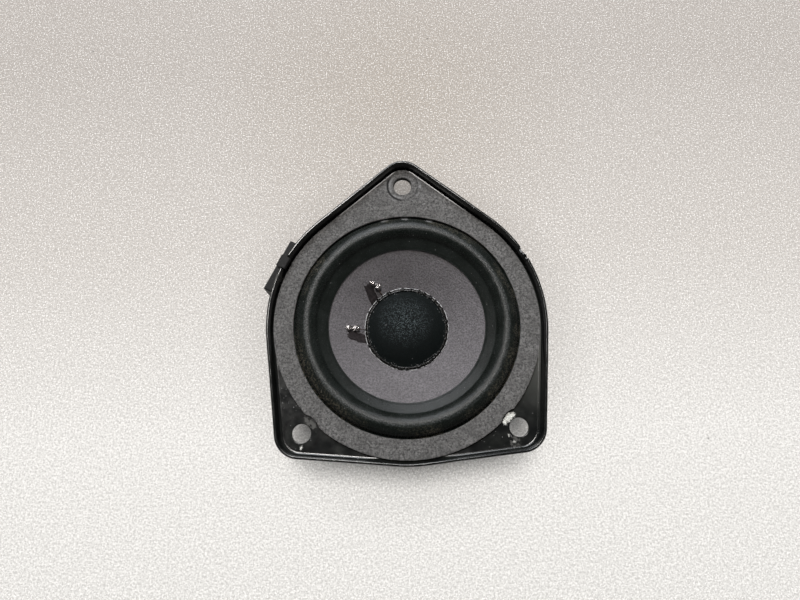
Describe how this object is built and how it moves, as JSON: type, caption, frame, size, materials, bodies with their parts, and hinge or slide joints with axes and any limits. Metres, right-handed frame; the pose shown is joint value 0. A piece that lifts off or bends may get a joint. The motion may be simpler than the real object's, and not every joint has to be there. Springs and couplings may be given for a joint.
{
  "type": "loudspeaker driver",
  "caption": "Small car loudspeaker driver: paper cone, rubber roll surround and felt dust cap in a three-cornered pressed-steel frame with a side connector and a ring magnet.",
  "frame": {"origin": "centre of the magnet assembly's flat rear face", "axes": "+Z along the cone's axis towards the listener; +Y towards the pointed corner with the single mounting hole; +X to the right of it, seen from the front, so the connector faces between -X and +Y"},
  "size_m": [0.083, 0.0898, 0.038],
  "materials": {
    "frame_paint": "satin black e-coat on pressed steel, chipped at the edges",
    "gasket_fibre": "matt grey pressed-fibre gasket",
    "surround_rubber": "matt black moulded rubber",
    "cone_paper": "matt grey felted paper pulp",
    "cap_felt": "matt black felted cloth with pale fibres",
    "black_glue": "glossy black adhesive",
    "amber_glue": "translucent amber adhesive",
    "former_film": "amber polyimide film",
    "coil_copper": "enamelled copper wire",
    "spider_cloth": "resin-dipped woven cotton",
    "plate_steel": "zinc-plated turned steel",
    "ferrite": "ground sintered ferrite",
    "stake_steel": "zinc-plated steel",
    "rivet_aluminium": "bright aluminium",
    "connector_nylon": "black glass-filled nylon",
    "pin_tin": "tin-plated brass",
    "solder": "tarnished tin solder",
    "tinsel_braid": "braided copper tinsel",
    "lacquer_brown": "dark brown lacquer"
  },
  "bodies": {
    "frame": {"basket_frame": "frame_paint", "front_gasket": "gasket_fibre", "surround": "surround_rubber", "spider": "spider_cloth", "spider_edge_bead": "amber_glue", "frame_stakes": "stake_steel", "top_plate": "plate_steel", "magnet_ring": "ferrite", "pole_yoke": "plate_steel", "connector_housing": "connector_nylon", "connector_rivets": "rivet_aluminium", "terminal_pin_upper": "pin_tin", "terminal_pin_lower": "pin_tin", "tinsel_lead_upper": "tinsel_braid", "tinsel_lead_lower": "tinsel_braid"},
    "diaphragm": {"cone": "cone_paper", "dust_cap": "cap_felt", "dust_cap_bead": "black_glue", "neck_bead": "amber_glue", "spider_collar_bead": "amber_glue", "voice_coil_former": "former_film", "voice_coil_winding": "coil_copper", "leadout_wire_upper": "coil_copper", "leadout_wire_lower": "coil_copper", "solder_joint_upper": "solder", "solder_joint_lower": "solder", "lacquer_patch_upper": "lacquer_brown", "lacquer_patch_lower": "lacquer_brown"}
  },
  "joints": [
    {"name": "cone_travel", "type": "slide", "parent": "frame", "child": "diaphragm", "axis": [0, 0, 1], "range_m": [-0.0025, 0.0025], "stiffness_N_per_m": 1200, "deforming": ["surround", "spider", "tinsel_lead_upper", "tinsel_lead_lower"]}
  ]
}
